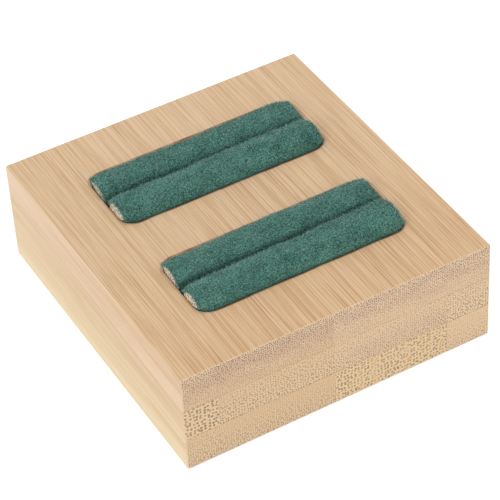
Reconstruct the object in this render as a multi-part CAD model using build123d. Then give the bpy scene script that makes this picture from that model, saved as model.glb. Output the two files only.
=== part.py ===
from build123d import *
import os
from math import asin, cos, sin

# Ring display tray: a glued bamboo block with two slots, and two velvet rolls in each slot.
# Millimetres, +Z up. The origin is the centre of the underside.
# The slots run along X. The bamboo's grain runs along Y, and +Y is the back.

# Block
block_width = 72.6
block_depth = 78.0
edge_ease = 0.4
bottom_ply = 8.5
middle_ply = 7.7
top_ply = 8.8
block_height = bottom_ply + middle_ply + top_ply

# Strips across each ply, from the left side to the right
left_edge_strip = 7.8
wide_strip = 27.1

# Slots: the router left them a little to the right of the middle
slot_length = 49.7
slot_width = 18.2
slot_depth = 7.5
slot_corner = 3.5
slot_shift = 1.0
rim_ease = 0.2

# Rolls
wall_gap = 0.2
floor_gap = 0.1
end_gap = 0.5
velvet = 0.5
core_gap = 0.06
crown_rise = 3.2
base_round = 1.0
left_shoulder = 0.2
right_shoulder = 0.7
groove_lip = 0.5
end_steps = 3
seam_width = 0.4
seam_inset = 2.6
cut_overrun = 1.0

# How far each roll's crown stands above the block, at its left and right end
crowns = {
    "back_slot_rear": (2.2, 2.4),
    "back_slot_front": (2.8, 3.6),
    "front_slot_rear": (2.3, 2.9),
    "front_slot_front": (2.6, 3.8),
}

# Places that follow from the sizes
land = (block_depth - 2 * slot_width) / 3
slot_centre_y = (land + slot_width) / 2
slot_floor = block_height - slot_depth
roll_base = slot_floor + floor_gap
roll_width = (slot_width - 3 * wall_gap) / 2
slot_left = slot_shift - slot_length / 2
slot_right = slot_shift + slot_length / 2
roll_left = slot_left + end_gap
roll_right = slot_right - end_gap
corner_round = slot_corner - wall_gap
end_angle = asin((slot_corner - end_gap) / corner_round)


def span_box(x_span, y_span, z_span):
    """A box between two places on each axis."""
    size = Box(x_span[1] - x_span[0], y_span[1] - y_span[0], z_span[1] - z_span[0])
    return Pos(sum(x_span) / 2, sum(y_span) / 2, sum(z_span) / 2) * size


def slot_cutter(centre_y):
    """The space that the router takes out for one slot."""
    outline = RectangleRounded(slot_length, slot_width, slot_corner)
    return Pos(slot_shift, centre_y, slot_floor) * extrude(outline, slot_depth)


def make_block():
    """The whole block with eased edges, before it is divided into strips."""
    half_width = block_width / 2
    half_depth = block_depth / 2
    block = span_box((-half_width, half_width), (-half_depth, half_depth), (0, block_height))
    block = fillet(block.edges(), edge_ease)
    block -= slot_cutter(slot_centre_y) + slot_cutter(-slot_centre_y)
    top_face = block.faces().filter_by(Axis.Z).sort_by(Axis.Z)[-1]
    rims = [edge for wire in top_face.inner_wires() for edge in wire.edges()]
    return chamfer(rims, rim_ease)


def ply_spans():
    """Each ply's name with its lowest and highest Z."""
    return {
        "bottom": (0, bottom_ply),
        "middle": (bottom_ply, bottom_ply + middle_ply),
        "top": (bottom_ply + middle_ply, block_height),
    }


def strip_spans():
    """Each strip's name with its left and right X."""
    left = -block_width / 2
    joints = [left + left_edge_strip + count * wide_strip for count in range(3)]
    return {
        "left_edge": (left, joints[0]),
        "left": (joints[0], joints[1]),
        "right": (joints[1], joints[2]),
        "right_edge": (joints[2], -left),
    }


def bamboo_strips():
    """The glued strips, as node names and solids."""
    block = make_block()
    full_depth = (-block_depth / 2, block_depth / 2)
    strips = {}
    for ply, z_span in ply_spans().items():
        for strip, x_span in strip_spans().items():
            strips[f"{ply}_ply_{strip}_strip"] = block & span_box(x_span, full_depth, z_span)
    return strips


def roll_section(x, y_span, base, crown, rise):
    """A roll's outline at one place: flat base, straight sides and an elliptical crown."""
    low, high = y_span
    middle = (low + high) / 2
    shoulder = crown - rise
    heel = base + base_round
    outline = [
        Line((high, heel), (high, shoulder)),
        EllipticalCenterArc((middle, shoulder), (high - low) / 2, rise, start_angle=0, arc_size=180),
        Line((low, shoulder), (low, heel)),
        CenterArc((low + base_round, heel), base_round, 180, 90),
        Line((low + base_round, base), (high - base_round, base)),
        CenterArc((high - base_round, heel), base_round, 270, 90),
    ]
    place = Plane(origin=(x, 0, 0), x_dir=(0, 1, 0), z_dir=(1, 0, 0))
    return place * make_face(Curve() + outline)


def roll_stations(crown_span):
    """Places along a roll: X, how far it draws in at the wall and at the groove, and its crown.

    The roll is cut square just inside each end of its slot, where it follows the slot's rounded
    corner, and its crown drops over a soft shoulder.
    """
    places = [((slot_left + slot_right) / 2, 0, 0)]
    for step in range(end_steps + 1):
        angle = end_angle * step / end_steps
        bend = 1 - cos(angle)
        reach = slot_corner - corner_round * sin(angle)
        places.append((slot_left + reach, bend, left_shoulder))
        places.append((slot_right - reach, bend, right_shoulder))
    for x, bend, shoulder in sorted(places):
        share = (x - roll_left) / (roll_right - roll_left)
        end_share = bend / (1 - cos(end_angle))
        crown = crown_span[0] + (crown_span[1] - crown_span[0]) * share - shoulder * end_share
        yield x, corner_round * bend, groove_lip * end_share**2, block_height + crown


def roll_form(slot_y, wall_side, crown_span, inset, overrun=0):
    """One roll's closed form, drawn in by an inset, and longer by an overrun at each end."""
    groove = slot_y + wall_side * (wall_gap / 2 + inset)
    wall = slot_y + wall_side * (wall_gap / 2 + roll_width - inset)
    sections = []
    for x, wall_draw, groove_draw, crown in roll_stations(crown_span):
        edges = sorted((groove + wall_side * groove_draw, wall - wall_side * wall_draw))
        sections.append(roll_section(x, edges, roll_base + inset, crown - inset, crown_rise - inset))
    form = loft(sections, ruled=True)
    if overrun:
        form += extrude(sections[0], -overrun) + extrude(sections[-1], overrun)
    return form


def roll_seam(slot_y, wall_side):
    """The slit under a roll, where the velvet's two edges meet."""
    middle = slot_y + wall_side * (wall_gap / 2 + seam_inset)
    y_span = (middle - seam_width / 2, middle + seam_width / 2)
    x_span = (roll_left - cut_overrun, roll_right + cut_overrun)
    return span_box(x_span, y_span, (slot_floor, roll_base + velvet + core_gap))


def make_roll(slot_y, wall_side, crown_span):
    """One roll's foam core and velvet cover."""
    core = roll_form(slot_y, wall_side, crown_span, velvet + core_gap)
    cover = roll_form(slot_y, wall_side, crown_span, 0)
    cover -= roll_form(slot_y, wall_side, crown_span, velvet, cut_overrun)
    cover -= roll_seam(slot_y, wall_side)
    return core, cover


def velvet_rolls():
    """The four rolls' pieces, as node names and solids."""
    pieces = {}
    for name, crown_span in crowns.items():
        slot_y = slot_centre_y if name.startswith("back_slot") else -slot_centre_y
        wall_side = 1 if name.endswith("rear") else -1
        core, cover = make_roll(slot_y, wall_side, crown_span)
        pieces[f"{name}_foam_core"] = core
        pieces[f"{name}_velvet_cover"] = cover
    return pieces


os.makedirs("parts", exist_ok=True)
for node, solid in {**bamboo_strips(), **velvet_rolls()}.items():
    export_step(solid, f"parts/{node}.step")
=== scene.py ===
import math
import random

import bmesh
import bpy
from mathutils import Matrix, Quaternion, Vector, noise


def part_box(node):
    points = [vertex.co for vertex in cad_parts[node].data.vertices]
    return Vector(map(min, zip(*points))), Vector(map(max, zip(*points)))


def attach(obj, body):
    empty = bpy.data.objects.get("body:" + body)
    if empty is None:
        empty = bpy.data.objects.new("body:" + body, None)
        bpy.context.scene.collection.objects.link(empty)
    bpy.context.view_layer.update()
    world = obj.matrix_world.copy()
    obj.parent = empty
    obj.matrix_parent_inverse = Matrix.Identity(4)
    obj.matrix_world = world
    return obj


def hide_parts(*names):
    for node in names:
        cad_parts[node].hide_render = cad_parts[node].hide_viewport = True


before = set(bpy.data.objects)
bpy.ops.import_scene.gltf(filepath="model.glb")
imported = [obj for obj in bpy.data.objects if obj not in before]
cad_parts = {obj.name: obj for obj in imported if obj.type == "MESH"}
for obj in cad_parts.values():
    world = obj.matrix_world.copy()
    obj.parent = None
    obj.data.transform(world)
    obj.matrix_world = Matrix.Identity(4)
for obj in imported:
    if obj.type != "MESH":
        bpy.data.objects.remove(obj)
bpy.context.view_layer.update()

# Lengths are in metres unless a name ends in _mm. Shaders measure places in millimetres.
MM = 0.001


def srgb(red, green, blue):
    """A display colour, 0 to 255, as the linear colour that shaders take."""
    linear = []
    for value in (red, green, blue):
        share = value / 255
        linear.append(share / 12.92 if share <= 0.04045 else ((share + 0.055) / 1.055) ** 2.4)
    return (*linear, 1)


def clamped(value):
    """A value kept between 0 and 1."""
    return min(1.0, max(0.0, value))


# Camera: the photograph's place and angle, seen from the front left
camera_place = Vector((-175.22, -333.64, 348.04)) * MM
camera_target = Vector((-5.75, -13.41, 25.0)) * MM
camera_roll = math.radians(-3.496)
camera_lens_mm = 170.5
camera_sensor_mm = 36

# Light: an even surround and a broad key from the left
surround_strength = 0.78
key_strength = 0.8
key_spread = math.radians(30)
key_from = Vector((-0.75, -0.35, 0.62))
white, black = (1, 1, 1, 1), (0, 0, 0, 1)

# Floor: just clear of the block, so that the two don't touch
floor_size = 4
floor_gap = 0.05 * MM
floor_glow = 0.35
floor_tone = srgb(215, 213, 210)

# Slots: one at the front and one at the back, alike and equally far from the block's middle
slot_size_mm = (49.7, 18.2)
slot_centre_mm = (1.0, 16.03)
slot_floor_mm = 17.5
slot_corner = 3.5 * MM

# Rolls: each crown's height above the block at the left and right end
crowns_mm = {
    "back_slot_rear": (2.2, 2.4),
    "back_slot_front": (2.8, 3.6),
    "front_slot_rear": (2.3, 2.9),
    "front_slot_front": (2.6, 3.8),
}
left_shoulder = 0.2 * MM
right_shoulder = 0.7 * MM
crown_rise = 3.2 * MM
base_round = 1.0 * MM
groove_lip = 0.5 * MM
seam_inset = 2.6 * MM
seam_half = 0.2 * MM
velvet_thickness = 0.5 * MM
core_gap = 0.06 * MM

# Slow waves along a crown: height, radians from end to end, and share of the roll's own phase
crown_waves = ((0.12 * MM, 9, 1), (0.08 * MM, 23, 2))
phase_step = 1.9

# Where a roll follows its slot's rounded corners, and how it spreads back over them above the rim
end_gap = 0.5 * MM
corner_round = 3.3 * MM
corner_reach = slot_corner - end_gap
end_draw = corner_round - math.sqrt(corner_round**2 - corner_reach**2)
rim_clearance = 0.15 * MM
bulge_height = 1.1 * MM

# How far each crown stops short of the slot's right end, how far along the roll that fades out,
# and how far below the rim it starts and over what height it grows
right_leans = {
    "back_slot_rear": 0.7 * MM,
    "back_slot_front": 0.9 * MM,
    "front_slot_rear": 1.1 * MM,
    "front_slot_front": 1.2 * MM,
}
lean_length = 7.0 * MM
lean_depth = 1.0 * MM
lean_height = 3.0 * MM

# Steps along a roll, and points round each part of its outline
station_pitch = 0.24 * MM
outline_counts = {"base": 4, "heel": 3, "side": 6, "crown": 52}

# Foam: how far it swells out of each roll's ends, inside the slot and above its rim, and the
# height over which the one goes over to the other
foam_swells = {
    "back_slot_rear": (0.14 * MM, 0.14 * MM),
    "back_slot_front": (0.36 * MM, 0.44 * MM),
    "front_slot_rear": (0.34 * MM, 0.36 * MM),
    "front_slot_front": (0.36 * MM, 0.44 * MM),
}
swell_fade = 0.3 * MM

# Foam's cut ends: a brim over the velvet's edge, then rings that dome and reach almost to the middle
foam_brims = {"rear": 0.24 * MM, "front": 0.36 * MM}
brim_step = 0.04 * MM
cap_rings = 12
cap_reach = 0.97
dome_steepness = 2.5
pit_depth = 0.07 * MM
pit_width = 0.5 * MM
pit_steepness = 3

# Pile: the height and width of its clumps, hairs and swells, which grow from the rim upwards
pile_waves_mm = ((0.11, 0.75), (0.07, 0.3), (0.09, 4.5))
pile_fade = 1.2 * MM

# Loose fibre ends, on a roll's crown and at its two cut ends: how many, how slender and how long,
# over what height they thin out towards the rim, and how much they follow their surface
crown_fibres = 4600
end_fibres = 560
fibre_radius = 0.075 * MM
fibre_lengths = (0.3 * MM, 0.8 * MM)
thinning_height = 0.9 * MM
end_splay = 0.5
fibre_order = 0.45
spike_faces = ((0, 2, 1), (0, 1, 3), (1, 2, 3), (2, 0, 3))

# Markings: each is noise, whose pace is how often it changes per millimetre along X, Y and Z.
# A marking goes over its span as the noise goes from its first level to its second.
plain_marking = {"span": (0.0, 1.0), "detail": 2.0, "roughness": 0.5}
fine_pace = (4.8, 0.035, 1.6)
markings = {
    "bands": {"pace": (0.2, 0.006, 0.2), "levels": (0.36, 0.6)},
    "coarse lines": {
        "pace": (2.0, 0.018, 0.7), "levels": (0.62, 0.72), "span": (0.0, 0.3), "detail": 1.0,
    },
    "fine lines": {"pace": fine_pace, "levels": (0.51, 0.56), "span": (0.0, 0.8)},
    "pale lines": {"pace": fine_pace, "levels": (0.44, 0.3)},
    "dashes": {"pace": (2.6, 0.06, 0.8), "levels": (0.57, 0.66), "span": (0.0, 0.45)},
    "bundle depths": {
        "pace": (3.1, 3.1, 3.1), "levels": (0.3, 0.7), "span": (0.6, 1.0), "detail": 0.0,
    },
    "streaks": {"pace": (0.55, 0.0, 0.06), "levels": (0.5, 0.64), "detail": 1.0},
    "blotches": {
        "pace": (0.13, 0.0, 0.4), "levels": (0.35, 0.6), "span": (0.25, 1.25), "detail": 1.0,
    },
    "mottle": {
        "pace": (1.3, 0.0, 1.3), "levels": (0.35, 0.65), "span": (0.0, 0.3), "roughness": 0.6,
    },
    "singed patches": {
        "pace": (0.22, 0.22, 0.0), "levels": (0.35, 0.6), "span": (0.5, 0.95), "detail": 1.0,
    },
    "foam tones": {"pace": (0.9, 0.9, 0.9), "levels": (0.4, 0.65), "detail": 1.0},
}

# Long grain: a pair in millimetres is where a change along Y, back to front, starts and is full
grain_tone_pace = (0.12, 0.012, 0.12)
band_strengths = (0.92, 1.0)
line_strengths = {"top": 0.5, "side": 0.36}
line_front_mm = (25.0, -35.0)
line_growth = (0.88, 1.25)
pale_line_strength = 0.35
warm_levels = (0.35, 0.65)
honey_front_mm = (10.0, -38.0)
honey_strength = 0.5
pale_side_levels = (0.4, 0.6)
pale_side_strengths = (0.42, 0.75)
face_roughness = (0.52, 0.64)
honey_tone = srgb(227, 188, 140)
pale_fibre = srgb(240, 212, 178)

# End grain: how far its dots stray from an even grid, a dot's dark core and its pale ring
bundle_scatter = 0.58
dot_core = 0.35
ring_reach = 1.45
ring_strength = 0.85
end_roughness = 0.72
bundle_ring = srgb(255, 234, 202)
pale_ground = srgb(248, 222, 184)

# Surfaces of a strip: how square to an axis counts as facing it, and what counts as eased or upright
facing_levels = (0.55, 0.85)
eased_levels = (0.995, 0.88)
# Eased edges are drawn lighter: partly wear, partly painted highlight
edge_wear_and_highlight_strength = 0.35
upright_levels = (0.5, 0.3)
edge_wear_and_highlight = srgb(240, 212, 176)

# Glue: a thin darker line along the foot of each ply
glue_height_mm = (0.26, 0.04)
glue_strength = 0.42
glue_line = srgb(176, 140, 100)

# Singed rims: where the brown starts and is full, outside a slot's outline and inside it, how much
# wider it is along the rear wall, how it fades round the ends, and how far below the top it is full
singe_outside_mm = (0.62, 0.34)
singe_inside_mm = (-0.8, -0.2)
singe_rear_mm = (-2.0, 2.0)
singe_widening_mm = 0.3
singe_ends_mm = (0.0, 3.0)
singe_end_shares = (1.0, 0.3)
singe_drop_mm = 0.5
singed_brown = srgb(134, 76, 46)

# Velvet: what its tone is made of, and its painted shade towards the rim and in the groove
clump_size_mm = 0.34
hair_pace = (5.0, 7.0, 7.0)
patch_pace = (0.25, 0.35, 0.35)
tone_shares = {"clumps": 0.5, "hairs": 0.4, "patches": 0.1}
tuft_levels = (0.4, 0.62)
lit_height_mm = (-0.6, 0.8)
lit_shares = (0.4, 1.0)
groove_half_mm = (1.5, 0.5)
groove_shade = 0.7
shade_strength = 0.75
velvet_shadow = srgb(14, 40, 34)
velvet_sheen = srgb(190, 226, 214)
velvet_deep, velvet_pale = srgb(24, 70, 62), srgb(106, 162, 149)
# The fibre ends' paler greens are painted highlight, for fibre tips that catch the light
fibre_highlight_deep, fibre_highlight_pale = srgb(38, 98, 86), srgb(176, 222, 208)

# Foam's pores and glints: painted shade in the pores, painted highlights for the glints
pore_pace = (2.4, 2.4, 2.4)
pore_shade_levels = (0.48, 0.4)
painted_glint_levels = (0.56, 0.64)
foam_cream, foam_grey = srgb(228, 220, 200), srgb(200, 194, 176)
foam_pore_shade, foam_painted_glint = srgb(92, 84, 60), srgb(250, 246, 234)

# What differs between the plies
ply_looks = {
    "top": {
        "Face": srgb(230, 198, 162), "Warm": srgb(229, 196, 158),
        "Line": srgb(184, 134, 88), "Side": srgb(248, 220, 190),
    },
    "middle": {
        "Face": srgb(226, 195, 156), "Warm": srgb(222, 188, 146),
        "Line": srgb(184, 144, 102), "Side": srgb(248, 224, 188),
    },
    "bottom": {
        "Face": srgb(230, 200, 160), "Warm": srgb(224, 192, 150),
        "Line": srgb(186, 146, 104), "Side": srgb(254, 236, 200),
    },
}

# What differs between the strips, on their cut ends. Spacing and Size are a dot's, in millimetres
# and as a share of the spacing. Low and High are at the foot and the top of the strip.
plain_end = {
    "End": srgb(242, 206, 162), "Haze": srgb(216, 175, 146), "Dot": srgb(148, 106, 68),
    "Spacing": 0.6, "Size": 0.43, "Dots Low": 0.5, "Dots High": 0.5,
    "Haze Low": 0.0, "Haze High": 0.0, "Streaks": 0.0,
}
dense_end = {
    "Spacing": 0.48, "Size": 0.48, "Dots Low": 0.45, "Dots High": 1.0,
    "Haze Low": 0.2, "Haze High": 1.0, "Dot": srgb(146, 102, 76),
}
lighter_end, lighter_haze = srgb(250, 215, 174), srgb(228, 190, 162)
strip_looks = {
    "top_ply_left_edge_strip": dense_end,
    "top_ply_left_strip": dense_end,
    "top_ply_right_strip": {**dense_end, "End": lighter_end, "Haze": lighter_haze},
    "top_ply_right_edge_strip": {**dense_end, "End": lighter_end, "Haze": lighter_haze},
    "middle_ply_left_edge_strip": {
        "Spacing": 0.86, "Size": 0.48, "Dots Low": 0.95, "Dots High": 0.9,
        "Dot": srgb(152, 110, 66),
    },
    "middle_ply_left_strip": {
        "Spacing": 0.62, "Size": 0.44, "Dots Low": 0.95, "Dots High": 0.55,
    },
    "middle_ply_right_strip": {
        "Spacing": 0.52, "Size": 0.44, "Dots Low": 0.95, "Dots High": 0.6,
        "Haze Low": 0.6, "Haze High": 0.0, "End": lighter_end, "Haze": lighter_haze,
    },
    "middle_ply_right_edge_strip": {
        "Spacing": 0.62, "Size": 0.46, "Dots Low": 0.95, "Dots High": 0.6, "End": lighter_end,
    },
    "bottom_ply_left_edge_strip": {
        "Spacing": 0.52, "Size": 0.46, "Dots Low": 1.0, "Dots High": 0.5,
    },
    "bottom_ply_left_strip": {
        "Spacing": 0.5, "Size": 0.46, "Dots Low": 1.0, "Dots High": 0.35,
    },
    "bottom_ply_right_strip": {
        "Spacing": 0.8, "Size": 0.48, "Dots Low": 1.0, "Dots High": 0.95,
        "Streaks": 0.4, "Dot": srgb(168, 128, 80), "End": srgb(248, 214, 164),
    },
    "bottom_ply_right_edge_strip": {
        "Spacing": 0.5, "Size": 0.44, "Dots Low": 0.9, "Dots High": 0.3, "End": lighter_end,
    },
}
seed_steps = (7.3, 3.1, 5.7)

block_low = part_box("bottom_ply_left_edge_strip")[0]
block_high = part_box("top_ply_right_edge_strip")[1]
block_top = block_high.z


# Shader helpers


def add_node(tree, kind, **settings):
    node = tree.nodes.new(kind)
    for name, value in settings.items():
        setattr(node, name, value)
    return node


def feed(tree, value, socket):
    """Links a socket to another node's output, or sets it to a plain value."""
    if isinstance(value, bpy.types.NodeSocket):
        tree.links.new(value, socket)
    else:
        socket.default_value = value


def maths(tree, operation, *values, clamp=False):
    node = add_node(tree, "ShaderNodeMath", operation=operation, use_clamp=clamp)
    for value, socket in zip(values, node.inputs):
        feed(tree, value, socket)
    return node.outputs[0]


def plus(tree, first, second):
    return maths(tree, "ADD", first, second)


def minus(tree, first, second, clamp=False):
    return maths(tree, "SUBTRACT", first, second, clamp=clamp)


def times(tree, first, second, clamp=False):
    return maths(tree, "MULTIPLY", first, second, clamp=clamp)


def absolute(tree, value):
    return maths(tree, "ABSOLUTE", value)


def largest(tree, value, *others):
    for other in others:
        value = maths(tree, "MAXIMUM", value, other)
    return value


def ramp(tree, value, low, high, start=0.0, end=1.0):
    """A smooth step from start to end as value goes from low to high."""
    node = add_node(tree, "ShaderNodeMapRange", interpolation_type="SMOOTHSTEP")
    for item, socket in zip((value, low, high, start, end), node.inputs):
        feed(tree, item, socket)
    return node.outputs[0]


def mix_colour(tree, share, first, second):
    node = add_node(tree, "ShaderNodeMix", data_type="RGBA")
    feed(tree, share, node.inputs[0])
    feed(tree, first, node.inputs[6])
    feed(tree, second, node.inputs[7])
    return node.outputs[2]


def mix_value(tree, share, first, second):
    node = add_node(tree, "ShaderNodeMix", data_type="FLOAT")
    feed(tree, share, node.inputs[0])
    feed(tree, first, node.inputs[2])
    feed(tree, second, node.inputs[3])
    return node.outputs[0]


def split_axes(tree, vector):
    """A vector's X, Y and Z outputs."""
    node = add_node(tree, "ShaderNodeSeparateXYZ")
    feed(tree, vector, node.inputs[0])
    return node.outputs


def stretched(tree, place, scale, shift=(0.0, 0.0, 0.0)):
    """A place multiplied along each axis, and moved so that each seed reads its own noise."""
    node = add_node(tree, "ShaderNodeVectorMath", operation="MULTIPLY_ADD")
    for value, socket in zip((place, scale, shift), node.inputs):
        feed(tree, value, socket)
    return node.outputs[0]


def surface_place(tree):
    """Where a point of the surface is on the part, in millimetres."""
    coordinates = add_node(tree, "ShaderNodeTexCoord")
    return stretched(tree, coordinates.outputs["Object"], (1 / MM, 1 / MM, 1 / MM))


def noise_value(tree, place, detail=2.0, roughness=0.5):
    node = add_node(tree, "ShaderNodeTexNoise")
    feed(tree, place, node.inputs["Vector"])
    node.inputs["Scale"].default_value = 1.0
    node.inputs["Detail"].default_value = detail
    node.inputs["Roughness"].default_value = roughness
    return node.outputs["Fac"]


def marking(tree, name, place, seed=(0.0, 0.0, 0.0)):
    """One of the markings listed above, as a mask."""
    look = {**plain_marking, **markings[name]}
    noise_place = stretched(tree, place, look["pace"], seed)
    value = noise_value(tree, noise_place, look["detail"], look["roughness"])
    return ramp(tree, value, *look["levels"], *look["span"])


def shader_group(name, inputs, outputs):
    """An empty node group with named sockets: the tree, its inputs and its outputs."""
    tree = bpy.data.node_groups.new(name, "ShaderNodeTree")
    for label, kind in inputs:
        tree.interface.new_socket(name=label, in_out="INPUT", socket_type=kind)
    for label, kind in outputs:
        tree.interface.new_socket(name=label, in_out="OUTPUT", socket_type=kind)
    source, result = tree.nodes.new("NodeGroupInput"), tree.nodes.new("NodeGroupOutput")
    return tree, source.outputs, result.inputs


def place_group(tree, group, values):
    node = add_node(tree, "ShaderNodeGroup", node_tree=group)
    for label, value in values.items():
        feed(tree, value, node.inputs[label])
    return node.outputs


FLOAT, VECTOR, COLOUR = "NodeSocketFloat", "NodeSocketVector", "NodeSocketColor"


# Slots in plan, for the shaders


def across_slot(tree, y):
    """How far a place is beyond the nearer slot's long middle line, as seen from the block's middle."""
    return minus(tree, absolute(tree, y), slot_centre_mm[1])


def slot_distance(tree, x, y):
    """How far a place is outside the nearer slot's outline, and how far past its straight sides.

    The first is below zero inside the slot, and the second wherever the slot's sides are straight.
    """
    corner = slot_corner / MM
    along_x = absolute(tree, minus(tree, x, slot_centre_mm[0]))
    along_y = absolute(tree, across_slot(tree, y))
    past_x = minus(tree, along_x, slot_size_mm[0] / 2 - corner)
    past_y = minus(tree, along_y, slot_size_mm[1] / 2 - corner)
    squares = [maths(tree, "POWER", largest(tree, past, 0.0), 2.0) for past in (past_x, past_y)]
    within = maths(tree, "MINIMUM", largest(tree, past_x, past_y), 0.0)
    beyond = maths(tree, "SQRT", plus(tree, *squares))
    return minus(tree, plus(tree, beyond, within), corner), past_x


# Shader groups


def make_fibre_group():
    """Bamboo's straight fibres along Y: dark lines, the pale lines between them, and a slow tone."""
    tree, source, result = shader_group(
        "bamboo fibres",
        [("Place", VECTOR), ("Seed", VECTOR)],
        [("Lines", FLOAT), ("Pale Lines", FLOAT), ("Tone", FLOAT)],
    )
    place, seed = source["Place"], source["Seed"]
    lines = marking(tree, "coarse lines", place, seed)
    for name in ("fine lines", "dashes"):
        lines = plus(tree, lines, marking(tree, name, place, seed))
    bands = ramp(tree, marking(tree, "bands", place, seed), 0.0, 1.0, *band_strengths)
    tone = noise_value(tree, stretched(tree, place, grain_tone_pace, seed), detail=1.0)
    feed(tree, times(tree, lines, bands), result["Lines"])
    feed(tree, marking(tree, "pale lines", place, seed), result["Pale Lines"])
    feed(tree, tone, result["Tone"])
    return tree


def make_bundle_group():
    """The cut ends of bamboo's fibre bundles: dark dots in X and Z, alike all along Y."""
    tree, source, result = shader_group(
        "bundle ends",
        [("Place", VECTOR), ("Seed", VECTOR), ("Spacing", FLOAT), ("Size", FLOAT)],
        [("Dots", FLOAT), ("Rings", FLOAT)],
    )
    axes = split_axes(tree, stretched(tree, source["Place"], (1.0, 1.0, 1.0), source["Seed"]))
    flat = add_node(tree, "ShaderNodeCombineXYZ")
    feed(tree, axes["X"], flat.inputs["X"])
    feed(tree, axes["Z"], flat.inputs["Y"])
    cells = add_node(tree, "ShaderNodeTexVoronoi", voronoi_dimensions="2D", feature="F1")
    feed(tree, flat.outputs[0], cells.inputs["Vector"])
    feed(tree, maths(tree, "DIVIDE", 1.0, source["Spacing"]), cells.inputs["Scale"])
    cells.inputs["Randomness"].default_value = bundle_scatter
    distance, size = cells.outputs["Distance"], source["Size"]
    dots = ramp(tree, distance, size, times(tree, size, dot_core))
    rings = ramp(tree, distance, times(tree, size, ring_reach), size)
    depths = marking(tree, "bundle depths", cells.outputs["Position"])
    feed(tree, times(tree, dots, depths), result["Dots"])
    feed(tree, minus(tree, rings, dots, clamp=True), result["Rings"])
    return tree


def end_grain(tree, source, place, bundles):
    """The colour of a strip's cut end, and its dots."""
    seed = source["Seed"]
    ends = place_group(tree, bundles, {
        "Place": place, "Seed": seed, "Spacing": source["Spacing"], "Size": source["Size"],
    })
    height = ramp(tree, split_axes(tree, place)["Z"], source["Low"], source["High"])
    dot_share = mix_value(tree, height, source["Dots Low"], source["Dots High"])
    streaks = times(tree, marking(tree, "streaks", place, seed), source["Streaks"])
    dot_share = minus(tree, dot_share, streaks, clamp=True)
    haze_share = mix_value(tree, height, source["Haze Low"], source["Haze High"])
    haze_share = times(tree, haze_share, marking(tree, "blotches", place, seed), clamp=True)
    ring_share = times(tree, ends["Rings"], times(tree, dot_share, ring_strength))
    dots = times(tree, ends["Dots"], dot_share)

    colour = mix_colour(tree, marking(tree, "mottle", place, seed), source["End"], pale_ground)
    colour = mix_colour(tree, haze_share, colour, source["Haze"])
    colour = mix_colour(tree, ring_share, colour, bundle_ring)
    return mix_colour(tree, dots, colour, source["Dot"]), dots


def long_grain(tree, source, y, grain, side_share):
    """The colour of a strip where its fibres run along the surface."""
    strengths = mix_value(tree, side_share, line_strengths["top"], line_strengths["side"])
    growth = ramp(tree, y, *line_front_mm, *line_growth)
    line_share = times(tree, times(tree, grain["Lines"], strengths), growth, clamp=True)
    pale_line_share = times(tree, grain["Pale Lines"], pale_line_strength)
    warm_share = ramp(tree, grain["Tone"], *warm_levels)
    honey_share = ramp(tree, y, *honey_front_mm, 0.0, honey_strength)
    pale_side = ramp(tree, grain["Tone"], *pale_side_levels, *pale_side_strengths)

    colour = mix_colour(tree, warm_share, source["Face"], source["Warm"])
    colour = mix_colour(tree, honey_share, colour, honey_tone)
    colour = mix_colour(tree, pale_line_share, colour, pale_fibre)
    colour = mix_colour(tree, line_share, colour, source["Line"])
    return mix_colour(tree, times(tree, side_share, pale_side), colour, source["Side"])


def singeing(tree, source, place):
    """How brown the router left the wood at a slot's rim and on the upper part of its walls."""
    axes = split_axes(tree, place)
    from_slot, past_side = slot_distance(tree, axes["X"], axes["Y"])
    to_the_rear = times(tree, maths(tree, "SIGN", axes["Y"]), across_slot(tree, axes["Y"]))
    widening = ramp(tree, to_the_rear, *singe_rear_mm, 0.0, singe_widening_mm)
    from_slot = minus(tree, from_slot, widening)
    singed = ramp(tree, from_slot, *singe_outside_mm)
    for share in (
        ramp(tree, from_slot, *singe_inside_mm),
        marking(tree, "singed patches", place, source["Seed"]),
        ramp(tree, past_side, *singe_ends_mm, *singe_end_shares),
        ramp(tree, axes["Z"], slot_floor_mm, block_top / MM - singe_drop_mm),
    ):
        singed = times(tree, singed, share)
    return singed


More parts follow.
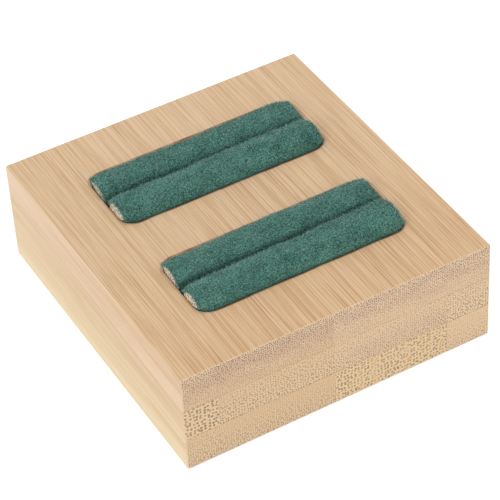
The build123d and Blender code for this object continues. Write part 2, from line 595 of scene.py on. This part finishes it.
def make_strip_group(fibres, bundles):
    """One bamboo strip: long grain on its faces and edges, bundle ends on its cut ends."""
    colours = ("Face", "Warm", "Line", "Side", "End", "Haze", "Dot")
    numbers = (
        "Spacing", "Size", "Low", "High", "Dots Low", "Dots High", "Haze Low", "Haze High", "Streaks",
    )
    inputs = [(label, COLOUR) for label in colours] + [(label, FLOAT) for label in numbers]
    tree, source, result = shader_group(
        "bamboo strip",
        [("Seed", VECTOR), *inputs],
        [("Color", COLOUR), ("Roughness", FLOAT), ("Height", FLOAT)],
    )
    place = surface_place(tree)
    axes = split_axes(tree, place)
    normal = add_node(tree, "ShaderNodeTexCoord").outputs["Normal"]
    facing_x, facing_y, facing_z = [absolute(tree, axis) for axis in split_axes(tree, normal)]
    side_share = ramp(tree, facing_x, *facing_levels)
    end_share = ramp(tree, facing_y, *facing_levels)
    grain = place_group(tree, fibres, {"Place": place, "Seed": source["Seed"]})
    face_colour = long_grain(tree, source, axes["Y"], grain, side_share)
    end_colour, dots = end_grain(tree, source, place, bundles)

    above_joint = minus(tree, axes["Z"], source["Low"])
    glue = ramp(tree, above_joint, *glue_height_mm, 0.0, glue_strength)
    glue = times(tree, glue, ramp(tree, facing_z, *upright_levels))
    eased = ramp(tree, largest(tree, facing_x, facing_y, facing_z), *eased_levels)
    colour = mix_colour(tree, end_share, face_colour, end_colour)
    colour = mix_colour(tree, glue, colour, glue_line)
    colour = mix_colour(tree, singeing(tree, source, place), colour, singed_brown)
    # Eased edges lighter: partly wear, partly painted highlight
    colour = mix_colour(tree, times(tree, eased, edge_wear_and_highlight_strength), colour, edge_wear_and_highlight)
    feed(tree, colour, result["Color"])

    roughness = ramp(tree, grain["Lines"], 0.0, 1.0, *face_roughness)
    feed(tree, mix_value(tree, end_share, roughness, end_roughness), result["Roughness"])
    hollows = [times(tree, value, -1.0) for value in (grain["Lines"], dots)]
    feed(tree, mix_value(tree, end_share, *hollows), result["Height"])
    return tree


def make_pile_group():
    """Short velvet pile: clumps, hairs and brushed patches, with painted shade low down and in the
    groove.
    """
    tree, source, result = shader_group(
        "velvet pile",
        [("Deep", COLOUR), ("Pale", COLOUR), ("Clump", FLOAT), ("Rim", FLOAT)],
        [("Color", COLOUR), ("Height", FLOAT)],
    )
    place = surface_place(tree)
    axes = split_axes(tree, place)
    scaled = add_node(tree, "ShaderNodeVectorMath", operation="SCALE")
    feed(tree, place, scaled.inputs[0])
    feed(tree, maths(tree, "DIVIDE", 1.0, source["Clump"]), scaled.inputs["Scale"])
    clumps = noise_value(tree, scaled.outputs[0], detail=3.0, roughness=0.7)
    hairs = noise_value(tree, stretched(tree, place, hair_pace), roughness=0.7)
    patches = noise_value(tree, stretched(tree, place, patch_pace), detail=1.0)
    tone = times(tree, clumps, tone_shares["clumps"])
    tone = plus(tree, tone, times(tree, hairs, tone_shares["hairs"]))
    tone = plus(tree, tone, times(tree, patches, tone_shares["patches"]))

    # Painted shade: the pile darkens below the rim's height and in the groove between two rolls
    above_rim = minus(tree, axes["Z"], source["Rim"])
    unlit = minus(tree, 1.0, ramp(tree, above_rim, *lit_height_mm, *lit_shares))
    from_middle = absolute(tree, across_slot(tree, axes["Y"]))
    in_groove = ramp(tree, from_middle, *groove_half_mm, 0.0, groove_shade)
    shade = times(tree, largest(tree, unlit, in_groove), shade_strength)
    tuft = mix_colour(tree, ramp(tree, tone, *tuft_levels), source["Deep"], source["Pale"])
    feed(tree, mix_colour(tree, shade, tuft, velvet_shadow), result["Color"])
    feed(tree, tone, result["Height"])
    return tree


# Materials


def new_material(name, specular, sheen=0.0):
    """A material and its Principled shader, with the values that are alike all over."""
    material = bpy.data.materials.new(name)
    material.use_nodes = True
    shader = material.node_tree.nodes["Principled BSDF"]
    shader.inputs["Specular IOR Level"].default_value = specular
    shader.inputs["Sheen Weight"].default_value = sheen
    return material, material.node_tree, shader


def add_bump(tree, shader, height, distance, strength):
    bump = add_node(tree, "ShaderNodeBump")
    bump.inputs["Distance"].default_value = distance
    bump.inputs["Strength"].default_value = strength
    feed(tree, height, bump.inputs["Height"])
    feed(tree, bump.outputs[0], shader.inputs["Normal"])


def bamboo_material(node_name, group, number):
    """One strip's bamboo, with a seed of its own."""
    low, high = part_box(node_name)
    name = node_name.replace("_strip", "_bamboo")
    material, tree, shader = new_material(name, specular=0.3)
    ply = node_name.split("_")[0]
    looks = {**ply_looks[ply], **plain_end, **strip_looks[node_name]}
    looks["Seed"] = [number * step for step in seed_steps]
    looks["Low"] = low.z / MM
    looks["High"] = high.z / MM
    strip = place_group(tree, group, looks)
    feed(tree, strip["Color"], shader.inputs["Base Color"])
    feed(tree, strip["Roughness"], shader.inputs["Roughness"])
    add_bump(tree, shader, strip["Height"], distance=0.03 * MM, strength=0.6)
    return material


def velvet_material(name, group, deep, pale):
    """Matt velvet with a soft sheen, in a deep and a pale green."""
    material, tree, shader = new_material(name, specular=0.15, sheen=0.35)
    shader.inputs["Roughness"].default_value = 0.95
    shader.inputs["Sheen Roughness"].default_value = 0.45
    shader.inputs["Sheen Tint"].default_value = velvet_sheen
    looks = {"Deep": deep, "Pale": pale, "Clump": clump_size_mm, "Rim": block_top / MM}
    pile = place_group(tree, group, looks)
    feed(tree, pile["Color"], shader.inputs["Base Color"])
    add_bump(tree, shader, pile["Height"], distance=0.25 * MM, strength=0.8)
    return material


def foam_material():
    """Pale open-cell foam: a cream ground with painted shade in its pores and painted highlight glints.
    """
    material, tree, shader = new_material("cut_foam", specular=0.2)
    shader.inputs["Roughness"].default_value = 0.9
    place = surface_place(tree)
    cells = noise_value(tree, stretched(tree, place, pore_pace), detail=3.0, roughness=0.7)
    colour = mix_colour(tree, marking(tree, "foam tones", place), foam_cream, foam_grey)
    # Painted shade in the pores, then painted highlights for the glints
    colour = mix_colour(tree, ramp(tree, cells, *pore_shade_levels), colour, foam_pore_shade)
    colour = mix_colour(tree, ramp(tree, cells, *painted_glint_levels), colour, foam_painted_glint)
    feed(tree, colour, shader.inputs["Base Color"])
    add_bump(tree, shader, cells, distance=0.3 * MM, strength=0.8)
    return material


# Rolls


def roll_ends():
    """The rolls' left and right ends, which are alike in both slots."""
    low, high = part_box("front_slot_front_velvet_cover")
    return low.x, high.x


def along(start, end, count):
    """Evenly spaced places on a stretch, without its last point."""
    return [start + (end - start) * step / count for step in range(count)]


def corner_bend(from_end):
    """How far the slot's rounded corner bends a roll in: 1 at the roll's end, 0 past the corner."""
    reach = corner_reach - from_end
    if reach <= 0:
        return 0.0
    return (corner_round - math.sqrt(corner_round**2 - reach**2)) / end_draw


def bulge(z, draw, wall_side):
    """How far a roll spreads back over its slot's rounded corner, once it stands clear of the rim."""
    clear = clamped((z - block_top - rim_clearance) / bulge_height)
    return wall_side * draw * clear * (2 - clear)


def lean_back(name, z, from_right):
    """How far a point is set back from the right end, where the roll's top leans inwards."""
    height = clamped((z - block_top + lean_depth) / lean_height)
    return right_leans[name] * height * max(0.0, 1 - from_right / lean_length)


def crown_wave(name, share):
    """How far a roll's crown waves up or down, at a share of its length."""
    phase = list(crowns_mm).index(name) * phase_step
    return sum(height * math.sin(share * turn + phase * shift) for height, turn, shift in crown_waves)


def roll_outline(low, high, base, crown, rise, slit):
    """Points round a roll as (y, z, normal y, normal z), from one side of its slit to the other."""
    middle, half = (low + high) / 2, (high - low) / 2
    shoulder, heel = crown - rise, base + base_round
    counts = outline_counts
    heel_angles = [math.radians(angle) for angle in along(-90, 0, counts["heel"])]
    points = [(y, base, 0, -1) for y in along(slit + seam_half, high - base_round, counts["base"])]
    for angle in heel_angles:
        across, up = math.cos(angle), math.sin(angle)
        points.append((high - base_round + base_round * across, heel + base_round * up, across, up))
    points += [(high, z, 1, 0) for z in along(heel, shoulder, counts["side"])]
    for angle in [math.pi * share for share in along(0, 1, counts["crown"])]:
        cosine, sine = math.cos(angle), math.sin(angle)
        across, up = cosine / half, sine / rise
        size = math.hypot(across, up)
        points.append((middle + half * cosine, shoulder + rise * sine, across / size, up / size))
    points += [(low, z, -1, 0) for z in along(shoulder, heel, counts["side"])]
    for angle in reversed(heel_angles):
        across, up = -math.cos(angle), math.sin(angle)
        points.append((low + base_round + base_round * across, heel + base_round * up, across, up))
    points += [(y, base, 0, -1) for y in along(low + base_round, slit - seam_half, counts["base"])]
    points.append((slit - seam_half, base, 0, -1))
    return points


def roll_rings(name, inset=0.0):
    """A roll's outlines along its length, as lists of (place, outward normal)."""
    low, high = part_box(f"{name}_velvet_cover")
    wall_side = 1 if name.endswith("rear") else -1
    groove, wall = (low.y, high.y) if wall_side > 0 else (high.y, low.y)
    slit = groove + wall_side * seam_inset
    crown_left, crown_right = (value * MM for value in crowns_mm[name])
    left, right = roll_ends()
    count = round((right - left) / station_pitch)
    rings = []
    for step in range(count + 1):
        share = step / count
        x = left + (right - left) * share
        left_bend, right_bend = corner_bend(x - left), corner_bend(right - x)
        bend = left_bend + right_bend
        wave = crown_wave(name, share)
        crown = block_top + crown_left + (crown_right - crown_left) * share + wave
        crown -= left_shoulder * left_bend + right_shoulder * right_bend
        groove_y = groove + wall_side * (groove_lip * bend**2 + abs(wave) + inset)
        wall_y = wall - wall_side * (end_draw * bend + inset)
        edges = sorted((groove_y, wall_y))
        outline = roll_outline(*edges, low.z + inset, crown - inset, crown_rise - inset, slit)
        ring = []
        for y, z, across, up in outline:
            near_wall = (y - groove_y) / (wall_y - groove_y)
            y += bulge(z, end_draw * bend, wall_side) * near_wall
            set_back = lean_back(name, z, right - x)
            ring.append((Vector((x - set_back, y, z)), Vector((0, across, up))))
        rings.append(ring)
    return rings


def pile_height(place):
    """How far the pile stands up or lies down, for a slightly uneven, fuzzy surface."""
    return sum(height * noise.noise(place / (width * MM)) for height, width in pile_waves_mm) * MM


def showing(place):
    """1 where a roll stands clear of its slot, falling to 0 inside it."""
    return clamped((place.z - block_top) / pile_fade)


def grid_faces(columns, rows, start=0, closed=False):
    """Quads over a grid of vertices, written column by column."""
    faces = []
    for column in range(columns - 1):
        for row in range(rows if closed else rows - 1):
            a = start + column * rows + row
            b = start + column * rows + (row + 1) % rows
            faces.append((a, b, b + rows, a + rows))
    return faces


def mesh_piece(name, vertices, faces, material, body):
    """A smooth closed mesh that rides on a body and takes a material."""
    mesh = bpy.data.meshes.new(name)
    mesh.from_pydata([tuple(vertex) for vertex in vertices], [], faces)
    shape = bmesh.new()
    shape.from_mesh(mesh)
    bmesh.ops.recalc_face_normals(shape, faces=shape.faces)
    shape.to_mesh(mesh)
    shape.free()
    mesh.shade_smooth()
    mesh.materials.append(material)
    piece = bpy.data.objects.new(name, mesh)
    bpy.context.scene.collection.objects.link(piece)
    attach(piece, body)
    return piece


def velvet_sleeve(name, material):
    """A roll's velvet: one thick sheet wrapped round, open at both ends and along the slit below."""
    rings = roll_rings(name)
    outer, inner = [], []
    for ring in rings:
        for place, normal in ring:
            outer.append(place + normal * (pile_height(place) * showing(place)))
            inner.append(place - normal * velvet_thickness)
    columns, rows, offset = len(rings), len(rings[0]), len(outer)
    faces = grid_faces(columns, rows) + grid_faces(columns, rows, offset)
    for column in (0, columns - 1):
        for row in range(rows - 1):
            a = column * rows + row
            faces.append((a, a + 1, a + 1 + offset, a + offset))
    for row in (0, rows - 1):
        for column in range(columns - 1):
            a = column * rows + row
            faces.append((a, a + rows, a + rows + offset, a + offset))
    vertices = outer + inner
    piece = mesh_piece(f"{name}_velvet_sleeve", vertices, faces, material, f"{name}_roll")
    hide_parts(f"{name}_velvet_cover")


def crown_spots(rings, dice):
    """Where fibre ends stand on a roll's crown, and which way the surface faces there."""
    spots = []
    while len(spots) < crown_fibres:
        column, row = dice.randrange(len(rings) - 1), dice.randrange(len(rings[0]) - 1)
        place, normal = rings[column][row]
        if place.z > block_top + thinning_height * dice.random():
            root = place.lerp(rings[column + 1][row + 1][0], dice.random())
            spots.append((root + normal * pile_height(root), normal))
    return spots


def end_spots(rings, dice):
    """Where fibre ends fray over a roll's two cut ends, and which way they splay."""
    spots = []
    for ring, outward in ((rings[0], -1), (rings[-1], 1)):
        clear = [spot for spot in ring if spot[0].z > block_top]
        for place, normal in dice.choices(clear, k=end_fibres):
            root = place - normal * velvet_thickness * dice.random()
            spots.append((root, normal * end_splay + Vector((outward, 0, 0))))
    return spots


def add_spike(vertices, faces, root, lean, length):
    """One fibre end: a slender closed spike on three corners."""
    start = len(vertices)
    side = lean.orthogonal().normalized() * fibre_radius
    for turn in range(3):
        vertices.append(root + Quaternion(lean, turn * math.tau / 3) @ side)
    vertices.append(root + lean * length)
    faces += [tuple(start + corner for corner in face) for face in spike_faces]


def loose_pile(name, material):
    """Fibre ends that stand out all over a roll's crown, and fray over its two cut ends."""
    rings = roll_rings(name)
    dice = random.Random(name)
    vertices, faces = [], []
    for root, facing in crown_spots(rings, dice) + end_spots(rings, dice):
        lean = facing * fibre_order + Vector([dice.uniform(-1, 1) for axis in range(3)])
        lean.z = abs(lean.z)
        add_spike(vertices, faces, root, lean.normalized(), dice.uniform(*fibre_lengths))
    mesh_piece(f"{name}_loose_pile", vertices, faces, material, f"{name}_roll")


def foam_cap(vertices, faces, brim, last, outward, swells):
    """Closes a rod's end: a brim over the velvet's cut edge, then rings that dome in to the middle."""
    rows = len(brim)
    centre = sum((place for place, normal in brim), Vector()) / rows
    for step in range(cap_rings + 1):
        share = step / cap_rings
        start = len(vertices)
        for place, normal in brim:
            point = place.lerp(centre, share * cap_reach)
            clear = clamped((point.z - block_top) / swell_fade)
            swell = swells[0] + (swells[1] - swells[0]) * clear
            dome = brim_step + (swell - brim_step) * math.sqrt(clamped(share * dome_steepness))
            pit = pit_depth * noise.noise(point / pit_width) * clamped(share * pit_steepness)
            vertices.append(point + Vector((outward * (dome + pit), 0, 0)))
        for row in range(rows):
            after = (row + 1) % rows
            faces.append((last + row, last + after, start + after, start + row))
        last = start
    faces.append([last + row for row in range(rows)])


def foam_rod(name, material):
    """A roll's foam: a closed rod whose cut ends swell a little over the velvet's edge."""
    rings = roll_rings(name, velvet_thickness + core_gap)
    brims = roll_rings(name, foam_brims[name.split("_")[-1]])
    vertices = [place for ring in rings for place, normal in ring]
    faces = grid_faces(len(rings), len(rings[0]), closed=True)
    last_ring = len(vertices) - len(rings[-1])
    foam_cap(vertices, faces, brims[0], 0, -1, foam_swells[name])
    foam_cap(vertices, faces, brims[-1], last_ring, 1, foam_swells[name])
    piece = mesh_piece(f"{name}_foam_rod", vertices, faces, material, f"{name}_roll")
    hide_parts(f"{name}_foam_core")


# Studio


def seen_rays(tree):
    """1 for rays that the camera sees, straight or through a gloss or a clear piece, else 0."""
    rays = add_node(tree, "ShaderNodeLightPath").outputs
    seen = [rays[f"Is {kind} Ray"] for kind in ("Camera", "Glossy", "Transmission")]
    return largest(tree, *seen)


def make_floor():
    """A pale floor that the camera sees as white, with the block's shadow on it."""
    bpy.ops.mesh.primitive_plane_add(size=floor_size, location=(0, 0, block_low.z - floor_gap))
    floor = bpy.context.object
    floor.name = "studio_floor"
    material, tree, shader = new_material("studio_floor", specular=0.0)
    shader.inputs["Roughness"].default_value = 1.0
    shader.inputs["Emission Strength"].default_value = floor_glow
    seen = seen_rays(tree)
    feed(tree, mix_colour(tree, seen, floor_tone, white), shader.inputs["Base Color"])
    feed(tree, mix_colour(tree, seen, black, white), shader.inputs["Emission Color"])
    floor.data.materials.append(material)


def make_surround():
    """An even world light, which the camera sees as white."""
    world = bpy.data.worlds.new("studio")
    bpy.context.scene.world = world
    world.use_nodes = True
    tree = world.node_tree
    background = tree.nodes["Background"]
    background.inputs["Color"].default_value = white
    strength = mix_value(tree, seen_rays(tree), surround_strength, 1.0)
    feed(tree, strength, background.inputs["Strength"])


def make_key():
    """One broad, soft light from the left."""
    light = bpy.data.lights.new("key", "SUN")
    light.energy = key_strength
    light.angle = key_spread
    lamp = bpy.data.objects.new("key", light)
    lamp.rotation_mode = "QUATERNION"
    lamp.rotation_quaternion = (-key_from).to_track_quat("-Z", "Y")
    bpy.context.scene.collection.objects.link(lamp)


def make_camera():
    """The photograph's view, turned a little about its line of sight."""
    data = bpy.data.cameras.new("camera")
    data.lens = camera_lens_mm
    data.sensor_width = camera_sensor_mm
    camera = bpy.data.objects.new("camera", data)
    facing = (camera_target - camera_place).to_track_quat("-Z", "Y")
    camera.rotation_mode = "QUATERNION"
    camera.rotation_quaternion = facing @ Quaternion((0, 0, 1), camera_roll)
    camera.location = camera_place
    bpy.context.scene.collection.objects.link(camera)
    bpy.context.scene.camera = camera


# The whole tray


def dress_block():
    """Gives every strip of the block its own bamboo."""
    strip_group = make_strip_group(make_fibre_group(), make_bundle_group())
    for number, node_name in enumerate(strip_looks):
        strip_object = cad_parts[node_name]
        strip_object.data.materials.clear()
        strip_object.data.materials.append(bamboo_material(node_name, strip_group, number))


def dress_rolls():
    """Gives every roll its velvet, its loose fibre ends and its foam."""
    pile_group = make_pile_group()
    velvet = velvet_material("green_velvet", pile_group, velvet_deep, velvet_pale)
    # The loose fibre ends take a paler copy of the velvet: painted highlight on their tips
    painted_fibre_highlights = velvet_material("green_velvet_painted_fibre_highlights", pile_group, fibre_highlight_deep, fibre_highlight_pale)
    foam = foam_material()
    for roll in crowns_mm:
        velvet_sleeve(roll, velvet)
        loose_pile(roll, painted_fibre_highlights)
        foam_rod(roll, foam)


make_camera()
make_surround()
make_key()
make_floor()
dress_block()
dress_rolls()

bpy.context.scene.view_settings.view_transform = "Standard"
